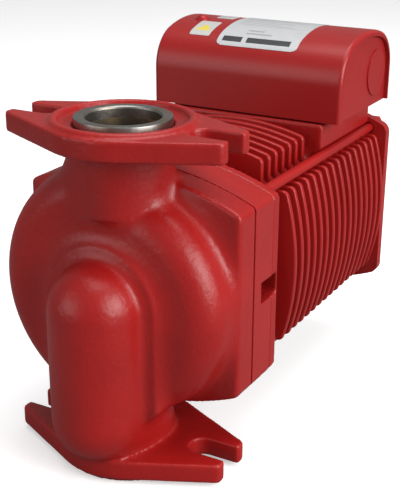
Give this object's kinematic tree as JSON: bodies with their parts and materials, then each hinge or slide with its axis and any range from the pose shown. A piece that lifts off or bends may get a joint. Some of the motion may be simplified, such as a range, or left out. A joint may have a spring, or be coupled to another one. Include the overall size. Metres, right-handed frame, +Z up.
{
  "type": "circulator pump",
  "caption": "In-line flanged circulator pump: spiral casing with forked pipe flanges, finned motor behind it, arched terminal box on top.",
  "frame": {"origin": "centre of the suction flange's face, at the mouth of its bore", "axes": "+Z up the pipe from the suction flange to the discharge flange; +Y from the pipe back along the motor shaft; +X to the right seen from the pump's front"},
  "size_m": [0.1175, 0.2354, 0.1829],
  "materials": {
    "red_iron": "satin gloss enamel over rough cast iron",
    "red_aluminium": "satin gloss red enamel over die-cast aluminium",
    "red_steel": "satin gloss red enamel over sheet steel",
    "gasket": "matt fibre and rubber sheet",
    "rubber": "matt black rubber",
    "ceramic": "polished white ceramic",
    "carbon": "lapped dark carbon",
    "impeller_plastic": "moulded dark plastic",
    "steel": "turned bright steel",
    "bearing_steel": "ground bright steel",
    "cage_steel": "pressed steel ribbon",
    "lamination": "stacked dark steel sheets",
    "copper": "enamelled copper wire, varnished",
    "cast_aluminium": "cast bright aluminium",
    "lead_jacket": "wire insulation",
    "block_plastic": "moulded black plastic",
    "brass_screw": "plated brass",
    "capacitor_can": "drawn can",
    "green_screw": "green screw head",
    "label_white": "satin printed film, no wording"
  },
  "bodies": {
    "pump_frame": {"volute_casing": "red_iron", "adapter_plate": "red_iron", "motor_housing": "red_aluminium", "right_fins": "red_aluminium", "left_fins": "red_aluminium", "top_fins": "red_aluminium", "bottom_fins": "red_aluminium", "rear_cover": "red_aluminium", "terminal_box_base": "red_steel", "terminal_box_cover": "red_steel", "knockout_discs": "red_steel", "cover_screw": "red_steel", "volute_gasket": "gasket", "box_gasket": "gasket", "lead_grommet": "rubber", "seal_cup": "rubber", "seal_seat": "ceramic", "front_bearing_outer_race": "bearing_steel", "rear_bearing_outer_race": "bearing_steel", "snap_ring": "bearing_steel", "wave_spring": "bearing_steel", "stator_core": "lamination", "stator_windings": "copper", "through_bolts": "red_steel", "bolt_washers": "red_steel", "box_screws": "steel", "motor_leads": "lead_jacket", "terminal_block": "block_plastic", "terminal_screws": "brass_screw", "run_capacitor": "capacitor_can", "capacitor_clip": "steel", "ground_screw": "green_screw", "nameplate": "label_white", "warning_label": "label_white", "small_label": "label_white"},
    "rotor": {"motor_shaft": "steel", "rotor_core": "lamination", "rotor_cage": "cast_aluminium", "front_bearing_inner_race": "bearing_steel", "rear_bearing_inner_race": "bearing_steel", "shaft_slinger": "rubber", "impeller": "impeller_plastic", "impeller_washer": "steel", "impeller_nut": "steel", "seal_carbon_ring": "carbon", "seal_bellows": "rubber", "seal_retainer": "steel", "seal_spring": "steel"},
    "front_balls": {"front_bearing_balls": "bearing_steel", "front_bearing_cage": "cage_steel"},
    "rear_balls": {"rear_bearing_balls": "bearing_steel", "rear_bearing_cage": "cage_steel"}
  },
  "joints": [
    {"name": "rotor_spin", "type": "hinge", "parent": "pump_frame", "child": "rotor", "pos_m": [0, 0.042, 0.081], "axis": [0, 1, 0], "continuous": true},
    {"name": "front_ball_roll", "type": "hinge", "parent": "pump_frame", "child": "front_balls", "pos_m": [0, 0.042, 0.081], "axis": [0, 1, 0], "continuous": true},
    {"name": "rear_ball_roll", "type": "hinge", "parent": "pump_frame", "child": "rear_balls", "pos_m": [0, 0.165, 0.081], "axis": [0, 1, 0], "continuous": true}
  ],
  "couplings": [
    {"joint": "front_ball_roll", "follows": "rotor_spin", "ratio": 0.3645},
    {"joint": "rear_ball_roll", "follows": "rotor_spin", "ratio": 0.3645}
  ]
}
